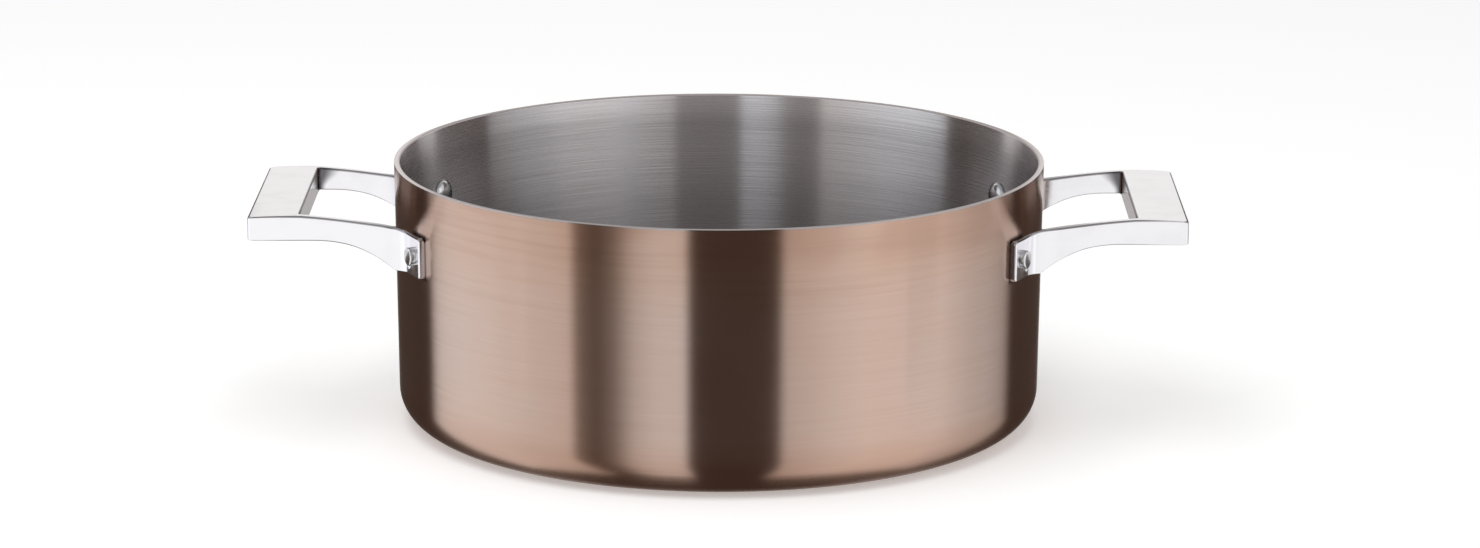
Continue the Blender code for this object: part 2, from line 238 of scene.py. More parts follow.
class Nodes:
    """Short calls for adding and joining the nodes of one tree."""

    def __init__(self, tree):
        self.tree = tree

    def add(self, kind, inputs=None, **settings):
        node = self.tree.nodes.new(kind)
        for name, value in settings.items():
            setattr(node, name, value)
        for name, value in (inputs or {}).items():
            self.feed(node.inputs[name], value)
        return node

    def feed(self, socket, value):
        if isinstance(value, bpy.types.NodeSocket):
            self.tree.links.new(value, socket)
        else:
            socket.default_value = value

    def math(self, operation, a, b=0.0):
        return self.add("ShaderNodeMath", {0: a, 1: b}, operation=operation).outputs[0]

    def vector(self, operation, a, b=(0.0, 0.0, 0.0)):
        return self.add("ShaderNodeVectorMath", {0: a, 1: b}, operation=operation).outputs[0]

    def place(self):
        """Where a point lies on its piece, in metres."""
        return self.add("ShaderNodeTexCoord").outputs["Object"]

    def normal(self):
        return self.add("ShaderNodeNewGeometry").outputs["Normal"]

    def parts(self, vector):
        """X, Y and Z of a vector."""
        return self.add("ShaderNodeSeparateXYZ", {0: vector}).outputs

    def noise(self, vector, scale, detail):
        inputs = {"Vector": vector, "Scale": scale, "Detail": detail}
        return self.add("ShaderNodeTexNoise", inputs).outputs[0]

    def ramp(self, value, low, high, to_low=0.0, to_high=1.0):
        """Smooth step of a value from one range to another."""
        inputs = {"Value": value, "From Min": low, "From Max": high, "To Min": to_low, "To Max": to_high}
        return self.add("ShaderNodeMapRange", inputs, interpolation_type="SMOOTHSTEP").outputs[0]

    def mix(self, factor, a, b):
        """Colour mix of two colours or colour sockets."""
        node = self.add("ShaderNodeMix", data_type="RGBA")
        self.feed(node.inputs[0], factor)
        for socket, colour in ((node.inputs[6], a), (node.inputs[7], b)):
            self.feed(socket, colour if isinstance(colour, bpy.types.NodeSocket) else (*colour, 1.0))
        return node.outputs[2]


def node_group(name, inputs, outputs):
    """An empty shader node group with named sockets, ready to be filled."""
    tree = bpy.data.node_groups.new(name, "ShaderNodeTree")
    for socket_name, default in inputs.items():
        socket = tree.interface.new_socket(socket_name, in_out="INPUT", socket_type="NodeSocketFloat")
        socket.default_value = default
    for socket_name in outputs:
        kind = "NodeSocketVector" if socket_name == "Normal" else "NodeSocketFloat"
        tree.interface.new_socket(socket_name, in_out="OUTPUT", socket_type=kind)
    nodes = Nodes(tree)
    return nodes, nodes.add("NodeGroupInput").outputs, nodes.add("NodeGroupOutput").inputs


def spun_brushing():
    """Marks that a brush leaves on a spinning pan: fine lines, broad bands and rare scratches.

    They run round the body, also over the corner and in rings on the base. Each Pitch is a
    height in metres, and Turns is how often the marks change on their way round. Normal leans
    across the grain by a different amount on each line, and Lean is the full range of it. Rise
    tips every line of an upright wall towards the rim, as one-sided ridges do.
    """
    names = ("Lines", "Bands", "Scratches", "Grain", "Normal")
    defaults = {"Line Pitch": 0.0004, "Band Pitch": 0.003, "Grain Pitch": 0.00015}
    defaults.update({"Turns": 4.0, "Lean": 0.1, "Rise": 0.0})
    nodes, given, result = node_group("spun_brushing", defaults, names)
    place = nodes.place()
    xyz = nodes.parts(place)
    flat = nodes.add("ShaderNodeCombineXYZ", {"X": xyz["X"], "Y": xyz["Y"]}).outputs[0]
    radius = nodes.add("ShaderNodeVectorMath", {0: flat}, operation="LENGTH").outputs["Value"]
    heading = nodes.add("ShaderNodeVectorMath", {0: flat}, operation="NORMALIZE").outputs[0]
    around = nodes.parts(heading)
    along = nodes.math("ADD", radius, xyz["Z"])
    marks = {}
    for name, pitch, turns, detail in (
        ("Lines", given["Line Pitch"], 2.5, 3.0),
        ("Bands", given["Band Pitch"], 1.0, 4.0),
        ("Scratches", given["Line Pitch"], 1.3, 1.0),
        ("Grain", given["Grain Pitch"], 2.0, 0.0),
    ):
        spread = nodes.math("MULTIPLY", given["Turns"], turns)
        vector = nodes.add(
            "ShaderNodeCombineXYZ",
            {
                "X": nodes.math("MULTIPLY", around["X"], spread),
                "Y": nodes.math("MULTIPLY", around["Y"], spread),
                "Z": nodes.math("DIVIDE", along, pitch),
            },
        )
        noise = nodes.add(
            "ShaderNodeTexNoise",
            {"Vector": vector.outputs[0], "Scale": 1.0, "Detail": detail, "Roughness": 0.6},
        )
        marks[name] = noise.outputs[0]
    nodes.feed(result["Lines"], marks["Lines"])
    nodes.feed(result["Bands"], marks["Bands"])
    nodes.feed(result["Grain"], marks["Grain"])
    nodes.feed(result["Scratches"], nodes.ramp(marks["Scratches"], *SCRATCH_LEVELS))
    normal = nodes.normal()
    along_lines = nodes.vector("CROSS_PRODUCT", (0.0, 0.0, 1.0), heading)
    across = nodes.vector("CROSS_PRODUCT", normal, along_lines)
    lean = nodes.math("MULTIPLY", nodes.math("SUBTRACT", marks["Grain"], 0.5), given["Lean"])
    slope = nodes.add("ShaderNodeVectorMath", {0: across, "Scale": lean}, operation="SCALE").outputs[0]
    level = nodes.math("ABSOLUTE", nodes.parts(normal)["Z"])
    upright = nodes.math("SUBTRACT", 1.0, level)
    rise = nodes.add("ShaderNodeCombineXYZ", {"Z": nodes.math("MULTIPLY", upright, given["Rise"])})
    leaning = nodes.vector("ADD", nodes.vector("ADD", normal, slope), rise.outputs[0])
    nodes.feed(result["Normal"], nodes.vector("NORMALIZE", leaning))
    return nodes.tree


def handling_haze():
    """Faint clouds where hands and cloths have been. Patch is their size in metres."""
    nodes, given, result = node_group("handling_haze", {"Patch": 0.04}, ("Haze", "Cloud"))
    place = nodes.place()
    scale = nodes.math("DIVIDE", 1.0, given["Patch"])
    soft = nodes.noise(place, scale, 1.5)
    fine = nodes.noise(place, nodes.math("MULTIPLY", scale, 6.0), 4.0)
    nodes.feed(result["Haze"], nodes.math("MULTIPLY", nodes.ramp(soft, 0.45, 0.75), fine))
    nodes.feed(result["Cloud"], nodes.ramp(soft, 0.3, 0.7))
    return nodes.tree


BRUSHING = spun_brushing()
HAZE = handling_haze()


def new_material(name):
    """An empty metal material: its nodes and its Principled BSDF."""
    material = bpy.data.materials.new(name)
    material.use_nodes = True
    nodes = Nodes(material.node_tree)
    shader = material.node_tree.nodes["Principled BSDF"]
    shader.inputs["Metallic"].default_value = 1.0
    return material, nodes, shader


def brushed_round(nodes, shader):
    """Stretch a metal's highlights across marks that run round the body."""
    shader.inputs["Anisotropic"].default_value = 1.0
    shader.inputs["Anisotropic Rotation"].default_value = 0.25
    tangent = nodes.add("ShaderNodeTangent", direction_type="RADIAL", axis="Z")
    nodes.feed(shader.inputs["Tangent"], tangent.outputs[0])


def flange_contact_shade(nodes, place):
    """Painted contact shade on the wall, close around each of the four flanges."""
    xyz = nodes.parts(place)
    away = nodes.math("ABSOLUTE", xyz["X"])
    side = nodes.math("ABSOLUTE", xyz["Y"])
    around = nodes.math("ARCTAN2", side, away)
    centre = (FLANGE_END + BEND_ANGLE) / 2
    half_run = (FLANGE_END - BEND_ANGLE) / 2
    off_centre = nodes.math("ABSOLUTE", nodes.math("SUBTRACT", around, centre))
    past_end = nodes.math("MULTIPLY", nodes.math("SUBTRACT", off_centre, half_run), RIM_RADIUS)
    past_end = nodes.math("MAXIMUM", past_end, 0.0)
    off_level = nodes.math("ABSOLUTE", nodes.math("SUBTRACT", xyz["Z"], RIVET_HEIGHT))
    past_edge = nodes.math("MAXIMUM", nodes.math("SUBTRACT", off_level, FLANGE_HEIGHT / 2), 0.0)
    square = nodes.math("ADD", nodes.math("POWER", past_end, 2.0), nodes.math("POWER", past_edge, 2.0))
    return nodes.ramp(nodes.math("SQRT", square), CONTACT_SHADE_REACH, 0.0)


def brushed_copper():
    """Satin copper: rosy near rim and base, paler between, with faint bands below the rim and painted
    contact shade round the flanges.
    """
    material, nodes, shader = new_material("brushed_copper")
    brush = {"Line Pitch": 0.0003, "Band Pitch": 0.0030, "Turns": 1.2, "Lean": 0.12}
    marks = nodes.add("ShaderNodeGroup", brush, node_tree=BRUSHING).outputs
    haze = nodes.add("ShaderNodeGroup", {"Patch": 0.035}, node_tree=HAZE).outputs
    place = nodes.place()
    height = nodes.parts(place)["Z"]
    above_base = nodes.ramp(height, *SAND_ABOVE_BASE)
    below_rim = nodes.ramp(height, *SAND_BELOW_RIM)
    middle = nodes.math("MULTIPLY", above_base, below_rim)
    cloud = nodes.ramp(haze["Cloud"], 0.0, 1.0, *SAND_CLOUDS)
    colour = nodes.mix(nodes.math("MULTIPLY", middle, cloud), COPPER_ROSE, COPPER_SAND)
    at_rim = nodes.ramp(height, *EMBER_AT_RIM)
    at_rim = nodes.math("MULTIPLY", at_rim, nodes.ramp(cloud, *SAND_CLOUDS, *EMBER_CLOUDS))
    at_base = nodes.ramp(height, *EMBER_AT_BASE)
    heated = nodes.math("MULTIPLY", nodes.math("ADD", at_rim, at_base), EMBER_SHARE)
    colour = nodes.mix(heated, colour, COPPER_EMBER)
    near_rim = nodes.ramp(height, *BAND_HEIGHTS, *BAND_SHARES)
    band = nodes.ramp(marks["Bands"], 0.40, 0.72)
    colour = nodes.mix(nodes.math("MULTIPLY", band, near_rim), colour, COPPER_TARNISH)
    line = nodes.ramp(marks["Lines"], 0.25, 0.75, 0.0, COPPER_LINE_SHARE)
    colour = nodes.mix(line, colour, COPPER_TARNISH)
    scratch = nodes.math("MULTIPLY", marks["Scratches"], COPPER_SCRATCH_SHARE)
    colour = nodes.mix(scratch, colour, COPPER_SAND)
    # Painted contact shade round the flanges.
    contact_shade = nodes.math("MULTIPLY", flange_contact_shade(nodes, place), CONTACT_SHADE_SHARE)
    nodes.feed(shader.inputs["Base Color"], nodes.mix(contact_shade, colour, COPPER_CONTACT_SHADE))
    rough = nodes.ramp(marks["Lines"], 0.2, 0.8, *COPPER_ROUGHNESS)
    rough = nodes.math("ADD", rough, nodes.math("MULTIPLY", haze["Haze"], COPPER_HAZE))
    nodes.feed(shader.inputs["Roughness"], rough)
    nodes.feed(shader.inputs["Normal"], marks["Normal"])
    brushed_round(nodes, shader)
    return material


hole_cutter = rivet_hole_cutter()
copper_top = PAN_HEIGHT - LIP_THICKNESS - TIGHT_FIT
copper_profile = shell_side(COPPER_THICKNESS, copper_top) + shell_side(0.0, copper_top)[::-1]
copper_mesh = turned_mesh("copper_shell", copper_profile, BODY_SEGMENTS)
copper_shell = drilled("copper_shell", copper_mesh, hole_cutter)
copper_shell.data.materials.append(brushed_copper())
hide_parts("copper_outer_shell")
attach(copper_shell, "root")


# Aluminium core
# The middle sheet, which spreads the heat. It is sealed between copper and steel, so the
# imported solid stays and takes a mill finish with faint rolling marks.
ALUMINIUM = (0.80, 0.80, 0.81)
ALUMINIUM_DULL = (0.66, 0.66, 0.68)
ALUMINIUM_ROUGHNESS = (0.38, 0.52)


def mill_aluminium():
    """Plain rolled sheet, duller along some of its marks."""
    material, nodes, shader = new_material("mill_aluminium")
    marks = nodes.add("ShaderNodeGroup", {"Band Pitch": 0.004}, node_tree=BRUSHING).outputs
    dull = nodes.ramp(marks["Bands"], 0.3, 0.8)
    nodes.feed(shader.inputs["Base Color"], nodes.mix(dull, ALUMINIUM, ALUMINIUM_DULL))
    rough = nodes.ramp(marks["Lines"], 0.2, 0.8, *ALUMINIUM_ROUGHNESS)
    nodes.feed(shader.inputs["Roughness"], rough)
    return material


aluminium_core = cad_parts["aluminium_core"]
core_finish = mill_aluminium()
for place in aluminium_core.material_slots:
    place.material = core_finish


# Steel liner
# The inner stainless sheet. Its lip turns outward over the edges of the other two and is
# polished, while the cooking surface is brushed round the body in long visible marks.
CORE_THICKNESS = 0.0009
LINER_THICKNESS = 0.0005
PLY_GAP = 0.0002
WALL_THICKNESS = COPPER_THICKNESS + CORE_THICKNESS + LINER_THICKNESS + 2 * PLY_GAP
LIP_EDGE_ROUND = 0.00016
LIP_INNER_ROUND = 0.00060
LIP_STEPS = 4
STEEL_LIGHT = (0.430, 0.408, 0.412)
# Painted shade: the inside wall darkens deeper down, where the pan shades itself; the floor of the pan
# goes back to the plain colour.
STEEL_DEPTH_SHADE = (0.276, 0.262, 0.265)
DEPTH_SHADE_HEIGHTS = (0.082, 0.046)
# Painted light: a lighter band on the inside wall just below the rim.
STEEL_RIM_LIGHT = (0.634, 0.605, 0.610)
RIM_LIGHT_HEIGHTS = (0.086, 0.098)
FLOOR_HEIGHTS = (0.016, 0.004)
STEEL_DARK = (0.330, 0.312, 0.318)
STEEL_BAND_SHARE = 0.10
STEEL_LINE_SHARE = 0.08
STEEL_SCRATCH_SHARE = 0.10
STEEL_METALLIC = 0.97
STEEL_ROUGHNESS = (0.18, 0.28)
STEEL_RISE = 0.25
# Painted highlight on the lip's upward faces, also used as the colour of bright scratches; painted shade
# on the lip's outward faces.
SCRATCH_AND_LIP_HIGHLIGHT = (0.700, 0.648, 0.640)
LIP_EDGE_SHADE = (0.440, 0.400, 0.390)
LIP_DEPTH = (0.0009, 0.0004)
LIP_ROUGHNESS = 0.15


def quarter_round(centre_radius, centre_height, start, end, radius):
    """Points of an arc in the profile plane, from one angle to another."""
    points = []
    for step in range(LIP_STEPS + 1):
        angle = lerp(start, end, step / LIP_STEPS)
        out = centre_radius + radius * math.cos(angle)
        points.append((out, centre_height + radius * math.sin(angle)))
    return points


def liner_mesh():
    """Inner face, over the rounded lip, in under it, and down the outer face."""
    outer_inset = COPPER_THICKNESS + CORE_THICKNESS + 2 * PLY_GAP
    under_lip = PAN_HEIGHT - LIP_THICKNESS
    inner_face = wall_radius(PAN_HEIGHT, WALL_THICKNESS)
    inner_round = inner_face + LIP_INNER_ROUND
    inner_shoulder = PAN_HEIGHT - LIP_INNER_ROUND
    outer_round = RIM_RADIUS - LIP_EDGE_ROUND
    inner = shell_side(WALL_THICKNESS, inner_shoulder - LIP_INNER_ROUND)
    over = quarter_round(inner_round, inner_shoulder, math.pi, math.pi / 2, LIP_INNER_ROUND)
    out = quarter_round(outer_round, PAN_HEIGHT - LIP_EDGE_ROUND, math.pi / 2, 0.0, LIP_EDGE_ROUND)
    under = [(wall_radius(under_lip), under_lip), (wall_radius(under_lip, outer_inset), under_lip)]
    outer = shell_side(outer_inset, under_lip - LIP_EDGE_ROUND)
    return turned_mesh("steel_liner_pan", inner + over + out + under + outer[::-1], BODY_SEGMENTS)


def brushed_steel():
    """Brushed stainless inside, with painted shade deeper down, a painted light band below the rim, and
    a polished lip with a painted highlight on top and painted shade on its outer edge.
    """
    material, nodes, shader = new_material("brushed_steel")
    shader.inputs["Metallic"].default_value = STEEL_METALLIC
    place = nodes.place()
    height = nodes.parts(place)["Z"]
    lip = nodes.ramp(height, *(PAN_HEIGHT - depth for depth in LIP_DEPTH))
    off_lip = nodes.math("SUBTRACT", 1.0, lip)
    brush = {"Line Pitch": 0.0005, "Band Pitch": 0.0030, "Grain Pitch": 0.00007, "Turns": 1.6}
    brush.update({"Lean": 0.055, "Rise": nodes.math("MULTIPLY", off_lip, STEEL_RISE)})
    marks = nodes.add("ShaderNodeGroup", brush, node_tree=BRUSHING).outputs
    # Painted shade deeper down the wall.
    wall = nodes.mix(nodes.ramp(height, *DEPTH_SHADE_HEIGHTS), STEEL_LIGHT, STEEL_DEPTH_SHADE)
    # Painted light just below the rim.
    wall = nodes.mix(nodes.ramp(height, *RIM_LIGHT_HEIGHTS), wall, STEEL_RIM_LIGHT)
    wall = nodes.mix(nodes.ramp(height, *FLOOR_HEIGHTS), wall, STEEL_LIGHT)
    band = nodes.ramp(marks["Bands"], 0.35, 0.70, 0.0, STEEL_BAND_SHARE)
    colour = nodes.mix(band, wall, STEEL_DARK)
    line = nodes.ramp(marks["Lines"], 0.3, 0.75, 0.0, STEEL_LINE_SHARE)
    colour = nodes.mix(line, colour, STEEL_DARK)
    scratch = nodes.math("MULTIPLY", marks["Scratches"], STEEL_SCRATCH_SHARE)
    colour = nodes.mix(scratch, colour, SCRATCH_AND_LIP_HIGHLIGHT)
    normal = nodes.normal()
    outward = nodes.add("ShaderNodeVectorMath", {0: place, 1: normal}, operation="DOT_PRODUCT")
    # Painted shade on the lip's outward faces and painted highlight on its upward faces.
    facing_out = nodes.ramp(outward.outputs["Value"], 0.03, 0.08)
    colour = nodes.mix(nodes.math("MULTIPLY", lip, facing_out), colour, LIP_EDGE_SHADE)
    facing_up = nodes.ramp(nodes.parts(normal)["Z"], 0.3, 0.8)
    colour = nodes.mix(nodes.math("MULTIPLY", lip, facing_up), colour, SCRATCH_AND_LIP_HIGHLIGHT)
    nodes.feed(shader.inputs["Base Color"], colour)
    rough = nodes.ramp(marks["Grain"], 0.30, 0.66, *STEEL_ROUGHNESS)
    rough = nodes.math("MULTIPLY", rough, off_lip)
    rough = nodes.math("ADD", rough, nodes.math("MULTIPLY", lip, LIP_ROUGHNESS))
    nodes.feed(shader.inputs["Roughness"], rough)
    nodes.feed(shader.inputs["Normal"], marks["Normal"])
    brushed_round(nodes, shader)
    return material


steel_liner = drilled("steel_liner_pan", liner_mesh(), hole_cutter)
steel_liner.data.materials.append(brushed_steel())
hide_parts("steel_liner")
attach(steel_liner, "root")


# Loop handles
# Two stainless castings, each a broad flat grip bar on two arms that deepen downward and
# bend outward into flanges. The flanges follow the curved wall, and the whole is polished.
GRIP_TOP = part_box("handle_right")[1].z
GRIP_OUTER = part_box("handle_right")[1].x
FLANGE_BOTTOM = RIVET_HEIGHT - FLANGE_HEIGHT / 2
FLANGE_TOP = RIVET_HEIGHT + FLANGE_HEIGHT / 2
GRIP_DEPTH = 0.0190
GRIP_INNER = GRIP_OUTER - GRIP_DEPTH
GRIP_CORNER_RADIUS = 0.0018
GRIP_INNER_RADIUS = 0.0008
GRIP_THICKNESS = 0.0094
GRIP_OUTER_FALL = 0.0006
ARM_THICKNESS = 0.0035
ARM_TOP_RISE = 0.0083
ARM_TOP_SWELL = 0.5
BEND_RUN = 0.0125
BEND_INNER_LAG = 0.0012
BEND_PULL = 0.42
BEND_BLEND = 0.5
FLANGE_CORNER_RADIUS = 0.0012
UNDERSIDE_SWEEP = 0.0330
UNDERSIDE_FOOT = 0.0030
UNDERSIDE_ANGLE = math.radians(38)
UNDERSIDE_RELIEF = 0.0008
LEAD_IN = 0.48
LEAD_OUT = 0.37
TOP_EDGE_ROUND = 0.0009
LOW_OUTER_ROUND = 0.0005
LOW_INNER_ROUND = 0.0002
FLANGE_END_ROUND = 0.0007
ROUND_STEPS = 4
FLANGE_CORNER_STEPS = 6
FLANGE_STEPS = 12
BEND_STEPS = 24
ARM_STEPS = 20
GRIP_CORNER_STEPS = 24
GRIP_CORNER_LEAD = 0.25
GRIP_STEPS = 12
HALVINGS = 30
POLISHED_LIGHT = (0.904, 0.893, 0.918)
POLISHED_DARK = (0.760, 0.748, 0.770)
HAZE_SHARE = 0.6
WEAR_START = 0.51
WEAR_FULL = 0.57
WEAR_PATCH = 0.004
WEAR_SHARE = 0.5
# Painted dark reflection along the rounded top edges of the handles.
EDGE_SHADE = (0.200, 0.190, 0.200)
EDGE_SHADE_SHARE = 0.7
# Painted shade in the grips' inner corners, on the faces that look into the gap.
CORNER_SHADE = (0.070, 0.063, 0.068)
CORNER_SHADE_SHARE = 0.9
CORNER_SHADE_DEPTH = 0.0080
CORNER_SHADE_LOW_REACH = 0.0030
CORNER_SHADE_TOP_REACH = 0.0100
POLISH_ROUGHNESS = 0.12
POLISH_SWIRL = (60.0, 900.0, 900.0)


def bezier(p0, p1, p2, p3, t):
    """Point of a cubic curve whose ends are p0 and p3."""
    s = 1 - t
    return p0 * s**3 + p1 * (3 * s * s * t) + p2 * (3 * s * t * t) + p3 * t**3


def polar(radius, angle):
    return Vector((radius * math.cos(angle), radius * math.sin(angle)))


FLANGE_SEAT = wall_radius(RIVET_HEIGHT) + TIGHT_FIT
WALL_X = FLANGE_FACE * math.cos(ARM_MEETS_WALL)
UNDERSIDE_START = Vector((WALL_X + UNDERSIDE_SWEEP, GRIP_TOP - GRIP_THICKNESS))
UNDERSIDE_END = Vector((WALL_X + UNDERSIDE_FOOT, FLANGE_BOTTOM))


def top_height(x):
    """Height of the upper face, from the low flange up to the slightly fallen grip."""
    if x >= GRIP_INNER:
        return GRIP_TOP - GRIP_OUTER_FALL * ((x - GRIP_INNER) / GRIP_DEPTH) ** 2
    share = max(x - WALL_X, 0.0) / (GRIP_INNER - WALL_X)
    ease = share * (1 + ARM_TOP_SWELL * share * (1 - share))
    return lerp(RIVET_HEIGHT + ARM_TOP_RISE, GRIP_TOP, ease)


def underside_height(x):
    """Height of the arm's concave lower edge, from the grip down to the flange."""
    if x >= UNDERSIDE_START.x:
        return UNDERSIDE_START.y
    if x <= UNDERSIDE_END.x:
        return UNDERSIDE_END.y
    run = UNDERSIDE_START.x - UNDERSIDE_END.x
    lead_in = UNDERSIDE_START - Vector((run * LEAD_IN, 0.0))
    lead_out = UNDERSIDE_END + polar(run * LEAD_OUT, UNDERSIDE_ANGLE)
    low = 0.0
    high = 1.0
    for _ in range(HALVINGS):
        middle = (low + high) / 2
        if bezier(UNDERSIDE_START, lead_in, lead_out, UNDERSIDE_END, middle).x > x:
            low = middle
        else:
            high = middle
    return bezier(UNDERSIDE_START, lead_in, lead_out, UNDERSIDE_END, low).y


def round_off(radius, distance):
    """How far a rounded corner of that radius cuts in at a distance from its end."""
    left = max(radius - distance, 0.0)
    return radius - math.sqrt(radius**2 - left**2)


def flange_stations():
    """Sections of the flange, closer where its end corners are rounded."""
    stations = []
    run = (FLANGE_END - BEND_ANGLE) * FLANGE_FACE
    corner = FLANGE_CORNER_RADIUS
    turns = [math.pi / 2 * k / FLANGE_CORNER_STEPS for k in range(FLANGE_CORNER_STEPS + 1)]
    arcs = [corner * (1 - math.cos(turn)) for turn in turns]
    arcs += [lerp(corner, run, k / FLANGE_STEPS) for k in range(1, FLANGE_STEPS)]
    for arc in arcs:
        angle = FLANGE_END - arc / FLANGE_FACE
        trim = round_off(corner, arc)
        face = FLANGE_FACE - round_off(FLANGE_END_ROUND, arc)
        heights = (FLANGE_TOP - trim, FLANGE_BOTTOM + trim) * 2
        stations.append((polar(face, angle), polar(FLANGE_SEAT, angle), heights, 1.0))
    return stations


def heights_at(outer, inner, relief):
    """Top and bottom of a section at its outer point, then at its inner one."""
    return (
        top_height(outer.x),
        underside_height(outer.x),
        top_height(inner.x),
        underside_height(inner.x) + relief,
    )


def bend_stations(outer_end, inner_end):
    """Sections of the bend, whose faces are cubic curves tangent to the wall and the arm."""
    along_wall = Vector((math.sin(BEND_ANGLE), -math.cos(BEND_ANGLE)))
    toward_wall = Vector((-1.0, 0.0))
    stations = []
    for k in range(BEND_STEPS + 1):
        t = k / BEND_STEPS
        faces = []
        for start, end in ((FLANGE_FACE, outer_end), (FLANGE_SEAT, inner_end)):
            start = polar(start, BEND_ANGLE)
            pull = (end - start).length * BEND_PULL
            faces.append(bezier(start, start + along_wall * pull, end + toward_wall * pull, end, t))
        flat = (FLANGE_TOP, FLANGE_BOTTOM) * 2
        arm = heights_at(faces[0], faces[1], UNDERSIDE_RELIEF * t)
        blend = min(1.0, t / BEND_BLEND)
        blend = blend * blend * (3 - 2 * blend)
        heights = tuple(lerp(a, b, blend) for a, b in zip(flat, arm))
        stations.append((faces[0], faces[1], heights, 1.0 - t))
    return stations


def grip_corner_path(t, start, corner, stop):
    """Outer edge round the grip's corner: straight, quarter round and straight again."""
    centre = corner - Vector((GRIP_CORNER_RADIUS, GRIP_CORNER_RADIUS))
    turned = (t - GRIP_CORNER_LEAD) / (1 - 2 * GRIP_CORNER_LEAD)
    if turned <= 0.0:
        return Vector((lerp(start.x, centre.x, t / GRIP_CORNER_LEAD), corner.y))
    if turned >= 1.0:
        return Vector((corner.x, lerp(stop.y, centre.y, (1 - t) / GRIP_CORNER_LEAD)))
    return centre + polar(GRIP_CORNER_RADIUS, math.pi / 2 * (1 - turned))


def handle_stations():
    """Sections of half the handle, from the flange's end at +Y to the grip's centre line."""
    outer_y = HANDLE_WIDTH / 2
    inner_y = outer_y - ARM_THICKNESS
    outer_end = Vector((WALL_X + BEND_RUN, outer_y))
    inner_end = Vector((outer_end.x + BEND_INNER_LAG, inner_y))
    stations = flange_stations() + bend_stations(outer_end, inner_end)
    centre = Vector((GRIP_INNER - GRIP_INNER_RADIUS, inner_y - GRIP_INNER_RADIUS))
    for k in range(1, ARM_STEPS):
        t = k / ARM_STEPS
        outer = Vector((lerp(outer_end.x, centre.x, t), outer_y))
        inner = Vector((lerp(inner_end.x, centre.x, t), inner_y))
        stations.append((outer, inner, heights_at(outer, inner, UNDERSIDE_RELIEF), 0.0))
    start = Vector((centre.x, outer_y))
    corner = Vector((GRIP_OUTER, outer_y))
    for k in range(GRIP_CORNER_STEPS + 1):
        t = k / GRIP_CORNER_STEPS
        outer = grip_corner_path(t, start, corner, centre)
        inner = centre + polar(GRIP_INNER_RADIUS, math.pi / 2 * (1 - t))
        stations.append((outer, inner, heights_at(outer, inner, UNDERSIDE_RELIEF * (1 - t)), 0.0))
    for k in range(1, GRIP_STEPS + 1):
        y = lerp(centre.y, 0.0, k / GRIP_STEPS)
        outer = Vector((GRIP_OUTER, y))
        inner = Vector((GRIP_INNER, y))
        stations.append((outer, inner, heights_at(outer, inner, 0.0), 0.0))
    return stations


def section_ring(station):
    """Corner-rounded section of one station, as points that run round it."""
    outer, inner, (outer_top, outer_bottom, inner_top, inner_bottom), lean = station
    across = (outer - inner).normalized()
    width = (outer - inner).length
    top = TOP_EDGE_ROUND
    low_in = LOW_INNER_ROUND
    low_out = LOW_OUTER_ROUND
    corners = (
        (top, width - top, outer_top - top),
        (top, top, inner_top - top),
        (low_in, low_in, inner_bottom + low_in),
        (low_out, width - low_out, outer_bottom + low_out),
    )
    ring = []
    for quadrant, (radius, centre_reach, centre_height) in enumerate(corners):
        for k in range(ROUND_STEPS + 1):
            angle = math.pi / 2 * (quadrant + k / ROUND_STEPS)
            z = centre_height + radius * math.sin(angle)
            reach = centre_reach + radius * math.cos(angle)
            reach += lean * (z - RIVET_HEIGHT) * math.tan(WALL_DRAFT)
            point = inner + across * reach
            ring.append(Vector((point.x, point.y, z)))
    return ring


def handle_mesh():
    """Loft the whole casting through its sections, the second half mirrored from the first."""
    half = [section_ring(station) for station in handle_stations()]
    mirrored = [[Vector((p.x, -p.y, p.z)) for p in ring] for ring in half[-2::-1]]
    bm = bmesh.new()
    rings = [[bm.verts.new(point) for point in ring] for ring in half + mirrored]
    for ring, following in zip(rings, rings[1:]):
        for k in range(len(ring)):
            n = (k + 1) % len(ring)
            bm.faces.new((ring[k], ring[n], following[n], following[k]))
    bm.faces.new(rings[0])
    bm.faces.new(rings[-1])
    return finished_mesh("loop_handle", bm)


def worn_edges():
    """Where a part's edges have been rubbed: 1 on a worn edge, 0 on flat faces and in corners."""
    nodes, _, result = node_group("worn_edges", {}, ("Wear",))
    bend = nodes.add("ShaderNodeNewGeometry").outputs["Pointiness"]
    patch = nodes.ramp(nodes.noise(nodes.place(), 1 / WEAR_PATCH, 3.0), 0.35, 0.65)
    edge = nodes.ramp(bend, WEAR_START, WEAR_FULL)
    nodes.feed(result["Wear"], nodes.math("MULTIPLY", edge, patch))
    return nodes.tree


WORN_EDGES = worn_edges()


def corner_painted_shade(nodes, place):
    """Painted shade in the inner corners of each grip, spreading wider towards the top."""
    xyz = nodes.parts(place)
    normal = nodes.normal()
    faces = nodes.parts(normal)
    inner_y = HANDLE_WIDTH / 2 - ARM_THICKNESS
    squares = []
    inward = []
    for name, corner in (("X", GRIP_INNER), ("Y", inner_y)):
        off = nodes.math("SUBTRACT", nodes.math("ABSOLUTE", xyz[name]), corner)
        squares.append(nodes.math("POWER", nodes.math("ABSOLUTE", off), 2.0))
        outward = nodes.math("MULTIPLY", faces[name], nodes.math("SIGN", xyz[name]))
        inward.append(nodes.math("MULTIPLY", outward, -1.0))
    away = nodes.math("SQRT", nodes.math("ADD", squares[0], squares[1]))
    low = GRIP_TOP - CORNER_SHADE_DEPTH
    reach = nodes.ramp(xyz["Z"], low, GRIP_TOP, CORNER_SHADE_LOW_REACH, CORNER_SHADE_TOP_REACH)
    near = nodes.ramp(nodes.math("DIVIDE", away, reach), 1.0, 0.2)
    in_gap = nodes.ramp(nodes.math("MAXIMUM", inward[0], inward[1]), 0.3, 0.7)
    return nodes.math("MULTIPLY", near, in_gap)


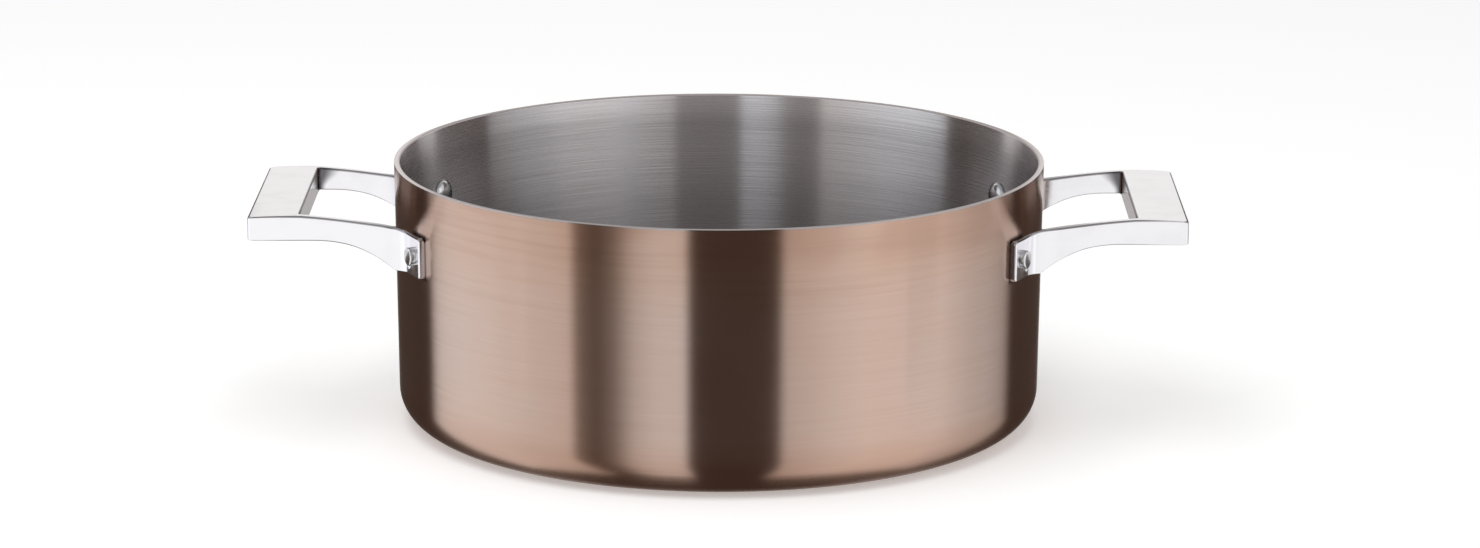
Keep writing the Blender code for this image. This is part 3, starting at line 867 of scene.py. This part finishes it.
def rounded_top_edges(nodes):
    """1 on the rounds between the flat tops and the sides, where a dark reflection is painted into the
    colour.
    """
    normal = nodes.normal()
    upward = nodes.parts(normal)["Z"]
    off_side = nodes.ramp(upward, 0.08, 0.35)
    return nodes.math("MULTIPLY", off_side, nodes.ramp(upward, 0.94, 0.84))


def polished_cast_steel():
    """Bright polish with faint polishing marks and the slight waves that casting leaves, with painted
    dark reflections on the rounded top edges and painted shade in the grips' inner corners.
    """
    material, nodes, shader = new_material("polished_cast_steel")
    place = nodes.place()
    haze = nodes.add("ShaderNodeGroup", {"Patch": 0.012}, node_tree=HAZE).outputs["Haze"]
    wear = nodes.add("ShaderNodeGroup", node_tree=WORN_EDGES).outputs["Wear"]
    stretch = nodes.add("ShaderNodeMapping", {"Vector": place, "Scale": POLISH_SWIRL})
    polish = nodes.ramp(nodes.noise(stretch.outputs[0], 1.0, 3.0), 0.3, 0.7)
    colour = nodes.mix(nodes.math("MULTIPLY", haze, HAZE_SHARE), POLISHED_LIGHT, POLISHED_DARK)
    colour = nodes.mix(nodes.math("MULTIPLY", wear, WEAR_SHARE), colour, POLISHED_LIGHT)
    # Painted dark reflection on the rounded top edges.
    edges = nodes.math("MULTIPLY", rounded_top_edges(nodes), EDGE_SHADE_SHARE)
    colour = nodes.mix(edges, colour, EDGE_SHADE)
    # Painted shade in the grips' inner corners.
    corner_shade = nodes.math("MULTIPLY", corner_painted_shade(nodes, place), CORNER_SHADE_SHARE)
    nodes.feed(shader.inputs["Base Color"], nodes.mix(corner_shade, colour, CORNER_SHADE))
    rough = nodes.math("ADD", nodes.math("MULTIPLY", polish, 0.03), POLISH_ROUGHNESS)
    rough = nodes.math("ADD", rough, nodes.math("MULTIPLY", wear, 0.10))
    nodes.feed(shader.inputs["Roughness"], rough)
    wave = {"Height": nodes.noise(place, 130.0, 0.5), "Strength": 0.5, "Distance": 0.00012}
    waves = nodes.add("ShaderNodeBump", wave).outputs[0]
    mark = {"Height": polish, "Strength": 0.06, "Distance": 0.00002, "Normal": waves}
    nodes.feed(shader.inputs["Normal"], nodes.add("ShaderNodeBump", mark).outputs[0])
    return material


handle_finish = polished_cast_steel()
for side_name, side_turn in (("right", 0.0), ("left", math.pi)):
    loop = handle_mesh()
    loop.transform(Matrix.Rotation(side_turn, 4, "Z"))
    handle = drilled(f"loop_handle_{side_name}", loop, hole_cutter)
    handle.data.materials.append(handle_finish)
    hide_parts(f"handle_{side_name}")
    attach(handle, "root")

bpy.data.objects.remove(hole_cutter)


# Rivets
# Four solid stainless rivets, two to a handle. Each has a low head on the flange and a domed
# one inside the pan, set tight so that the shank fills its hole.
OUTER_HEAD_HEIGHT = 0.0018
OUTER_HEAD_ROUND = 0.0006
INNER_HEAD_RADIUS = 0.0057
INNER_HEAD_HEIGHT = 0.0025
INNER_HEAD_EDGE = 0.0004
HEAD_STEPS = 10
RIVET_SEGMENTS = 72
RIVET_LIGHT = (0.780, 0.780, 0.790)
RIVET_DARK = (0.600, 0.600, 0.615)
RIVET_ROUGHNESS = 0.16
CROWN_SHARE = 0.4
CROWN_RISE = 0.00004
CROWN_PEAK = 0.00005


def rivet_mesh():
    """Turned along its axis, where height 0 is the outer face of the pan wall."""
    liner_radius = wall_radius(RIVET_HEIGHT, WALL_THICKNESS)
    hollow = liner_radius - math.sqrt(liner_radius**2 - INNER_HEAD_RADIUS**2)
    inner_seat = -(WALL_THICKNESS + hollow) - TIGHT_FIT
    inner_crown = -(WALL_THICKNESS + SEAT_GAP + hollow) - INNER_HEAD_HEIGHT
    outer_seat = SEAT_GAP + FLANGE_THICKNESS + TIGHT_FIT
    outer_crown = SEAT_GAP + FLANGE_THICKNESS + SEAT_GAP + OUTER_HEAD_HEIGHT
    dome = []
    shoulder = inner_seat - INNER_HEAD_EDGE
    for step in range(HEAD_STEPS + 1):
        angle = math.pi / 2 * step / HEAD_STEPS
        rise = (inner_crown - shoulder) * math.cos(angle)
        dome.append((INNER_HEAD_RADIUS * math.sin(angle), shoulder + rise))
    shank = [
        (INNER_HEAD_RADIUS, inner_seat),
        (SHAFT_RADIUS, inner_seat),
        (SHAFT_RADIUS, outer_seat),
        (OUTER_HEAD_RADIUS, outer_seat),
    ]
    head = []
    for step in range(HEAD_STEPS + 1):
        angle = math.pi / 2 * step / HEAD_STEPS
        radius = OUTER_HEAD_RADIUS - OUTER_HEAD_ROUND * (1 - math.cos(angle))
        head.append((radius, outer_crown - OUTER_HEAD_ROUND * (1 - math.sin(angle))))
    crown = [(OUTER_HEAD_RADIUS * CROWN_SHARE, outer_crown + CROWN_RISE)]
    crown.append((0.0, outer_crown + CROWN_PEAK))
    return turned_mesh("rivet", dome + shank + head + crown, RIVET_SEGMENTS)


def set_rivet_steel():
    """Bright steel that the setting tool has left slightly dulled and dented."""
    material, nodes, shader = new_material("set_rivet_steel")
    haze = nodes.add("ShaderNodeGroup", {"Patch": 0.003}, node_tree=HAZE).outputs
    wear = nodes.add("ShaderNodeGroup", node_tree=WORN_EDGES).outputs["Wear"]
    nodes.feed(shader.inputs["Base Color"], nodes.mix(haze["Cloud"], RIVET_LIGHT, RIVET_DARK))
    rough = nodes.math("ADD", nodes.math("MULTIPLY", haze["Haze"], 0.15), RIVET_ROUGHNESS)
    rough = nodes.math("ADD", rough, nodes.math("MULTIPLY", wear, 0.06))
    nodes.feed(shader.inputs["Roughness"], rough)
    dent = {"Height": nodes.noise(nodes.place(), 500.0, 1.0), "Strength": 0.3, "Distance": 0.0001}
    nodes.feed(shader.inputs["Normal"], nodes.add("ShaderNodeBump", dent).outputs[0])
    return material


rivet_finish = set_rivet_steel()
for side, side_name in ((1, "right"), (-1, "left")):
    for end, end_name in ((-1, "front"), (1, "rear")):
        shape = rivet_mesh()
        shape.transform(rivet_matrix(side, end))
        shape.materials.append(rivet_finish)
        rivet = bpy.data.objects.new(f"set_rivet_{side_name}_{end_name}", shape)
        bpy.context.scene.collection.objects.link(rivet)
        even_shading(rivet)
        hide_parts(f"rivet_{side_name}_{end_name}")
        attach(rivet, "root")


# Studio
# A pale floor, a white surround, and a ring of soft boxes and two cards that only the metal
# mirrors. Azimuths are in degrees from straight in front, and grow to the right. Each stop
# of the ring has an azimuth, a level and how cool its light is.
FLOOR_SIZE = 12.0
FLOOR_DROP = 0.0001
FLOOR_COLOUR = (0.90, 0.90, 0.90)
FLOOR_LIFT = 0.30
RING_RADIUS = 0.38
RING_HALF_HEIGHT = 0.50
RING_SEGMENTS = 128
GAP_COLOUR = (0.056, 0.0345, 0.0245)
COOL_GREEN = 0.07
COOL_BLUE = 0.12
BOX_LEVELS = (
    (-180.0, 0.40, 0.0),
    (-153.0, 0.40, 0.0),
    (-148.0, 0.02, 0.0),
    (-106.0, 0.02, 0.0),
    (-104.8, 0.86, 0.9),
    (-99.0, 1.02, 1.0),
    (-88.0, 1.06, 0.9),
    (-73.0, 1.02, 0.6),
    (-60.0, 0.905, 0.3),
    (-44.9, 0.84, -0.3),
    (-42.8, 0.14, -2.0),
    (-36.0, 0.07, -1.8),
    (-30.5, 0.26, -0.4),
    (-24.5, 0.74, 0.6),
    (-18.0, 0.90, 0.8),
    (-9.8, 0.92, 0.8),
    (-7.6, 0.02, 0.0),
    (18.0, 0.02, 0.0),
    (20.2, 0.72, 0.0),
    (29.0, 0.85, 0.0),
    (36.0, 0.94, 0.5),
    (46.5, 1.06, 0.2),
    (60.0, 1.04, 0.1),
    (71.5, 1.03, 0.3),
    (79.0, 0.90, 0.4),
    (88.0, 0.75, 0.5),
    (94.5, 0.715, 0.5),
    (107.8, 0.52, 0.2),
    (109.2, 0.02, 0.0),
    (148.0, 0.02, 0.0),
    (153.0, 0.40, 0.0),
    (180.0, 0.40, 0.0),
)
HANDLE_CARDS = (
    ("left", -1, 1.02, 1.02),
    ("right", 1, 0.98, 0.92),
)
CARD_NEAR = 0.125
CARD_FAR = 0.30
CARD_FRONT = -0.12
CARD_BOTTOM = 0.015
CARD_TOP = 0.085
BACK_BOX_NEAR_EDGE = (140.0, 147.0)
BACK_BOX_FAR_EDGE = (162.0, 158.0)
BACK_BOX_BOTTOM = (0.04, 0.08)
BACK_BOX_LEVEL = 0.86
UPPER_HEIGHTS = (0.15, 0.25)
UPPER_LEVEL = 0.42
SIDE_GAP_EDGE = (108.0, 112.0)
SIDE_GAP_SHARE = 0.30
ROOM_ABOVE = (0.420, 0.420, 0.430)
ROOM_BELOW = (0.080, 0.058, 0.047)
ROOM_HORIZON = (-0.15, 0.35)
SURROUND = (0.5, 0.5, 0.5)
LAMP_PLACE = (-0.3, -0.5, 1.9)
LAMP_SIZE = 1.6
LAMP_POWER = 18.0


def cleared(owner):
    """The node tree of a material or world, emptied."""
    owner.use_nodes = True
    owner.node_tree.nodes.clear()
    return Nodes(owner.node_tree)


def glowing(nodes, colour, strength=1.0):
    return nodes.add("ShaderNodeEmission", {"Color": colour, "Strength": strength}).outputs[0]


def ring_mesh():
    """An open cylinder round the pan."""
    bm = bmesh.new()
    ends = []
    for z in (-RING_HALF_HEIGHT, RING_HALF_HEIGHT):
        made = bmesh.ops.create_circle(
            bm, segments=RING_SEGMENTS, radius=RING_RADIUS, matrix=Matrix.Translation((0, 0, z))
        )
        ends.append(made["verts"])
    for k in range(RING_SEGMENTS):
        n = (k + 1) % RING_SEGMENTS
        bm.faces.new((ends[0][k], ends[0][n], ends[1][n], ends[1][k]))
    mesh = bpy.data.meshes.new("soft_box_ring")
    bm.to_mesh(mesh)
    bm.free()
    return mesh


def soft_box_light():
    """Light of the ring: boxes by azimuth, one box behind the pan, and a dimmer part higher up."""
    material = bpy.data.materials.new("soft_box_light")
    nodes = cleared(material)
    xyz = nodes.parts(nodes.place())
    azimuth = nodes.math("ARCTAN2", xyz["X"], nodes.math("MULTIPLY", xyz["Y"], -1.0))
    share = nodes.math("ADD", nodes.math("DIVIDE", azimuth, 2 * math.pi), 0.5)
    ramp = nodes.add("ShaderNodeValToRGB", {0: share})
    stops = ramp.color_ramp.elements
    while len(stops) > 1:
        stops.remove(stops[-1])
    for number, (degrees, level, cool) in enumerate(BOX_LEVELS):
        position = degrees / 360 + 0.5
        stop = stops[0] if number == 0 else stops.new(position)
        stop.position = position
        stop.color = (level, level * (1 + COOL_GREEN * cool), level * (1 + COOL_BLUE * cool), 1.0)
    turned = nodes.math("DEGREES", nodes.math("ABSOLUTE", azimuth))
    behind = nodes.ramp(turned, *BACK_BOX_NEAR_EDGE)
    behind = nodes.math("MULTIPLY", behind, nodes.ramp(turned, *BACK_BOX_FAR_EDGE))
    high = nodes.ramp(xyz["Z"], *BACK_BOX_BOTTOM)
    back = nodes.math("MULTIPLY", nodes.math("MULTIPLY", behind, high), BACK_BOX_LEVEL)
    upper = nodes.ramp(xyz["Z"], *UPPER_HEIGHTS, 0.0, UPPER_LEVEL)
    upper = nodes.math("MULTIPLY", upper, nodes.ramp(turned, *SIDE_GAP_EDGE, 1.0, SIDE_GAP_SHARE))
    lit = nodes.add("ShaderNodeMix", data_type="RGBA", blend_type="LIGHTEN")
    nodes.feed(lit.inputs[0], 1.0)
    nodes.feed(lit.inputs[6], ramp.outputs[0])
    nodes.feed(lit.inputs[7], nodes.math("MAXIMUM", back, upper))
    gap = glowing(nodes, (*GAP_COLOUR, 1.0))
    both = nodes.add("ShaderNodeAddShader", {0: glowing(nodes, lit.outputs[2]), 1: gap})
    nodes.add("ShaderNodeOutputMaterial", {"Surface": both.outputs[0]})
    return material


def card_light(near_level, far_level):
    """White light of one card in front of a handle, from its level near the pan outward."""
    material = bpy.data.materials.new("card_light")
    nodes = cleared(material)
    reach = nodes.math("ABSOLUTE", nodes.parts(nodes.place())["X"])
    level = nodes.ramp(reach, CARD_NEAR, CARD_FAR, near_level, far_level)
    light = glowing(nodes, (1.0, 1.0, 1.0, 1.0), level)
    nodes.add("ShaderNodeOutputMaterial", {"Surface": light})
    return material


def reflected_only(name, mesh, material):
    """A stage piece that the metal mirrors and that nothing else sees."""
    obj = bpy.data.objects.new(name, mesh)
    bpy.context.scene.collection.objects.link(obj)
    mesh.materials.append(material)
    obj.visible_camera = False
    obj.visible_diffuse = False
    obj.visible_shadow = False


def pale_floor():
    """Matt white that renders as white where the light is open and keeps the soft shadow."""
    material = bpy.data.materials.new("pale_floor")
    nodes = cleared(material)
    path = nodes.add("ShaderNodeLightPath").outputs
    matt = nodes.add("ShaderNodeBsdfDiffuse", {"Color": (*FLOOR_COLOUR, 1.0)})
    lift = nodes.math("MULTIPLY", path["Is Camera Ray"], FLOOR_LIFT)
    glow = glowing(nodes, (1.0, 1.0, 1.0, 1.0), lift)
    seen = nodes.add("ShaderNodeAddShader", {0: matt.outputs[0], 1: glow})
    clear = nodes.add("ShaderNodeBsdfTransparent")
    below = nodes.add("ShaderNodeNewGeometry").outputs["Backfacing"]
    both = nodes.add("ShaderNodeMixShader", {0: below, 1: seen.outputs[0], 2: clear.outputs[0]})
    nodes.add("ShaderNodeOutputMaterial", {"Surface": both.outputs[0]})
    return material


def studio_world():
    """White to the camera, soft white to the floor, and a grey room, darker below, to the metal."""
    world = bpy.data.worlds.new("studio")
    bpy.context.scene.world = world
    nodes = cleared(world)
    path = nodes.add("ShaderNodeLightPath").outputs
    heading = nodes.add("ShaderNodeTexCoord").outputs["Generated"]
    height = nodes.parts(heading)["Z"]
    room = nodes.mix(nodes.ramp(height, *ROOM_HORIZON), ROOM_BELOW, ROOM_ABOVE)
    surround = nodes.mix(path["Is Glossy Ray"], SURROUND, room)
    colour = nodes.mix(path["Is Camera Ray"], surround, (1.0, 1.0, 1.0))
    background = nodes.add("ShaderNodeBackground", {"Color": colour, "Strength": 1.0})
    nodes.add("ShaderNodeOutputWorld", {"Surface": background.outputs[0]})


def soft_lamp(name, place, aim, size, power):
    """A large square lamp for the floor, aimed at a point."""
    data = bpy.data.lights.new(name, "AREA")
    data.shape = "SQUARE"
    data.size = size
    data.energy = power
    lamp = bpy.data.objects.new(name, data)
    bpy.context.scene.collection.objects.link(lamp)
    lamp.location = place
    lamp.rotation_euler = (Vector(aim) - Vector(place)).to_track_quat("-Z", "Y").to_euler()
    lamp.visible_camera = False
    lamp.visible_glossy = False


def flat_mesh(name, corners):
    """One four-sided face."""
    mesh = bpy.data.meshes.new(name)
    mesh.from_pydata(corners, [], [(0, 1, 2, 3)])
    return mesh


edge = FLOOR_SIZE / 2
floor_mesh = flat_mesh("floor", [(-edge, -edge, 0), (edge, -edge, 0), (edge, edge, 0), (-edge, edge, 0)])
floor_mesh.materials.append(pale_floor())
floor = bpy.data.objects.new("floor", floor_mesh)
bpy.context.scene.collection.objects.link(floor)
floor.location.z = -FLOOR_DROP
floor.visible_glossy = False
floor.visible_shadow = False

reflected_only("soft_box_ring", ring_mesh(), soft_box_light())
for side_name, side, near_level, far_level in HANDLE_CARDS:
    corners = [(side * CARD_NEAR, CARD_FRONT, z) for z in (CARD_BOTTOM, CARD_TOP)]
    corners += [(side * CARD_FAR, CARD_FRONT, z) for z in (CARD_TOP, CARD_BOTTOM)]
    card = flat_mesh("handle_card", corners)
    reflected_only(f"handle_card_{side_name}", card, card_light(near_level, far_level))

studio_world()
soft_lamp("overhead_lamp", LAMP_PLACE, (0.0, 0.0, 0.0), LAMP_SIZE, LAMP_POWER)


scene = bpy.context.scene
scene.view_settings.view_transform = "Standard"
